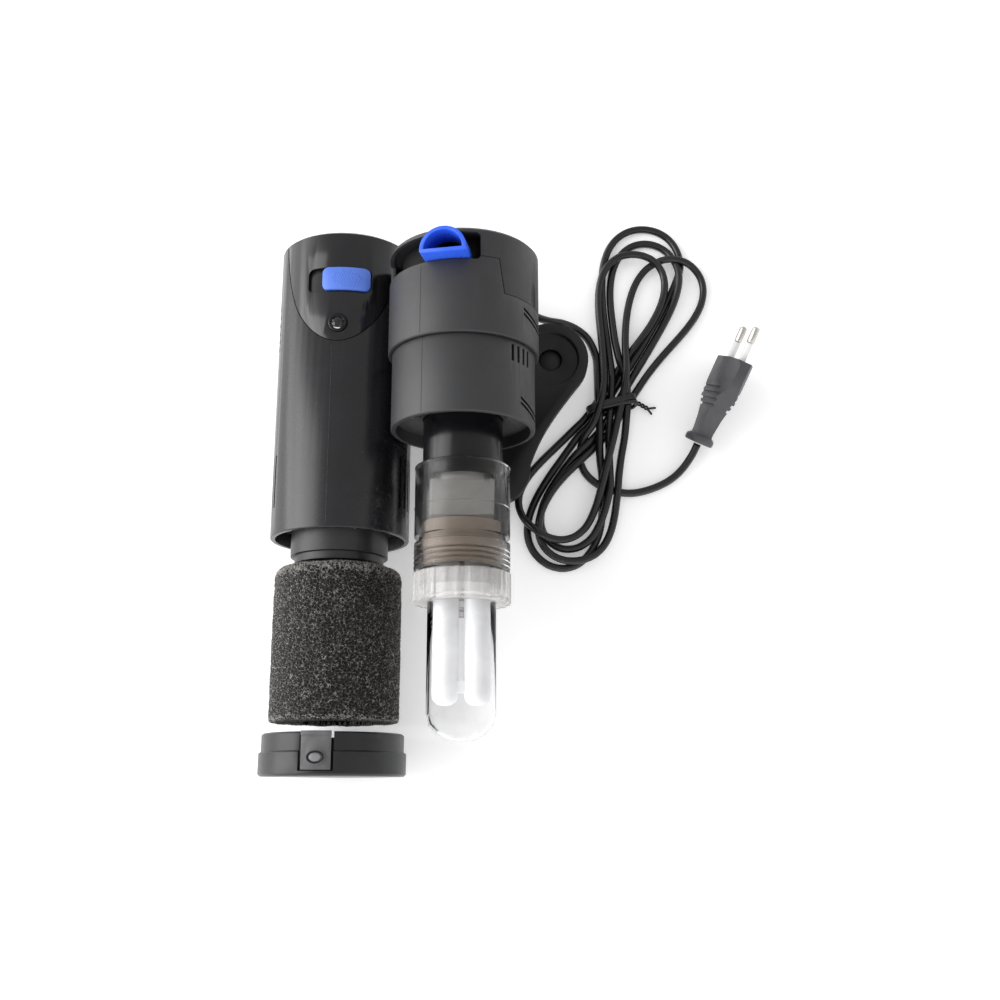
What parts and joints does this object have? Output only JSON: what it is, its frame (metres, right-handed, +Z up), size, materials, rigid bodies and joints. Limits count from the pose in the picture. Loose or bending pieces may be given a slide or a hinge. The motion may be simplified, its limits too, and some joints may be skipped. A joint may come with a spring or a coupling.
{
  "type": "internal power filter",
  "caption": "Internal aquarium power filter taken apart: round casing, foam cartridge and end cap beside the pump head with its lamp chamber, suction bracket and tied mains lead.",
  "frame": {"origin": "middle of the laid-out parts on the table surface, without the mains lead", "axes": "+Z up from the table, +Y towards the top ends of the casing and the pump head, +X from the casing towards the mains lead"},
  "size_m": [0.2447, 0.294, 0.1128],
  "materials": {
    "casing_black": "smooth moulded black with a soft gloss",
    "trim_black": "fine satin black",
    "signal_blue": "bright blue, fine moulded grain",
    "smoke_clear": "smoky transparent moulding",
    "frost_clear": "pale greyish transparent moulding",
    "quartz": "clear glass",
    "lamp_white": "milk white",
    "seal_amber": "brown silicone",
    "foam_black": "open-cell reticulated foam",
    "rubber_black": "soft matt rubber",
    "steel": "bright",
    "ferrite": "dark grey",
    "copper": "enamelled copper",
    "board_green": "lacquered board"
  },
  "bodies": {
    "pump_head": {"head_cap": "casing_black", "head_sleeve": "casing_black", "head_base": "casing_black", "base_screw_1": "steel", "base_screw_2": "steel", "base_screw_3": "steel", "volute_plate": "trim_black", "rotor_can": "trim_black", "motor_core": "ferrite", "motor_coil_1": "copper", "motor_coil_2": "copper", "ballast_board": "board_green", "rotor_shaft": "steel", "lamp_neck": "trim_black", "lamp_base": "lamp_white", "lamp_tube": "lamp_white", "lamp_chamber": "smoke_clear", "cord_gland": "rubber_black", "cord_lead": "rubber_black", "cord_hank": "rubber_black", "cord_tie": "trim_black", "cord_tail": "rubber_black", "plug_body": "rubber_black", "pin_sleeve_1": "lamp_white", "pin_sleeve_2": "lamp_white", "plug_pin_1": "steel", "plug_pin_2": "steel"},
    "casing": {"casing_shell": "casing_black", "face_panel": "casing_black", "indicator_bezel": "trim_black", "indicator_lens": "smoke_clear"},
    "switch": {"slide_switch": "signal_blue"},
    "cartridge": {"cartridge_core": "trim_black", "foam_block": "foam_black"},
    "cap": {"end_cap": "trim_black"},
    "latch": {"cap_latch": "trim_black"},
    "outlet": {"outlet_nozzle": "signal_blue", "outlet_drum": "trim_black"},
    "rotor": {"impeller": "trim_black", "rotor_magnet": "ferrite"},
    "sleeve": {"glass_sleeve": "quartz", "sleeve_seal": "seal_amber"},
    "nut": {"chamber_nut": "frost_clear"},
    "bracket": {"bracket_plate": "trim_black", "bracket_clip": "trim_black", "suction_cup_1": "rubber_black", "suction_cup_2": "rubber_black"}
  },
  "joints": [
    {"name": "outlet_swivel", "type": "hinge", "parent": "pump_head", "child": "outlet", "pos_m": [0.0162, 0.104, 0.0685], "axis": [0, 1, 0], "range_deg": [-60, 3]},
    {"name": "rotor_spin", "type": "hinge", "parent": "pump_head", "child": "rotor", "pos_m": [0.0162, 0.06, 0.0685], "axis": [0, 1, 0], "continuous": true},
    {"name": "sleeve_back_off", "type": "slide", "parent": "pump_head", "child": "sleeve", "axis": [0, -1, 0], "range_m": [0, 0.0075]},
    {"name": "nut_turn", "type": "hinge", "parent": "sleeve", "child": "nut", "pos_m": [0.0162, -0.05, 0.0685], "axis": [0, 1, 0], "range_deg": [0, 1080]},
    {"name": "bracket_slide", "type": "slide", "parent": "pump_head", "child": "bracket", "axis": [0, -1, 0], "range_m": [0, 0.007]},
    {"name": "casing_part", "type": "slide", "parent": "pump_head", "child": "casing", "axis": [-1, 0, 0], "range_m": [0, 0.05]},
    {"name": "switch_slide", "type": "hinge", "parent": "casing", "child": "switch", "pos_m": [-0.0445, 0.10475, 0.0342], "axis": [0, 1, 0], "range_deg": [-12.5, 0]},
    {"name": "cartridge_slide", "type": "slide", "parent": "casing", "child": "cartridge", "axis": [0, 1, 0], "range_m": [0, 0.0695]},
    {"name": "cap_slide", "type": "slide", "parent": "cartridge", "child": "cap", "axis": [0, 1, 0], "range_m": [0, 0.0212]},
    {"name": "latch_press", "type": "hinge", "parent": "cap", "child": "latch", "pos_m": [-0.04738, -0.127, 0.06707], "axis": [0.9962, 0, 0.0872], "range_deg": [-6, 0], "stiffness_Nm_per_rad": 0.5}
  ],
  "couplings": [
    {"joint": "sleeve_back_off", "follows": "nut_turn", "m_per_rad": 0.00039789}
  ]
}
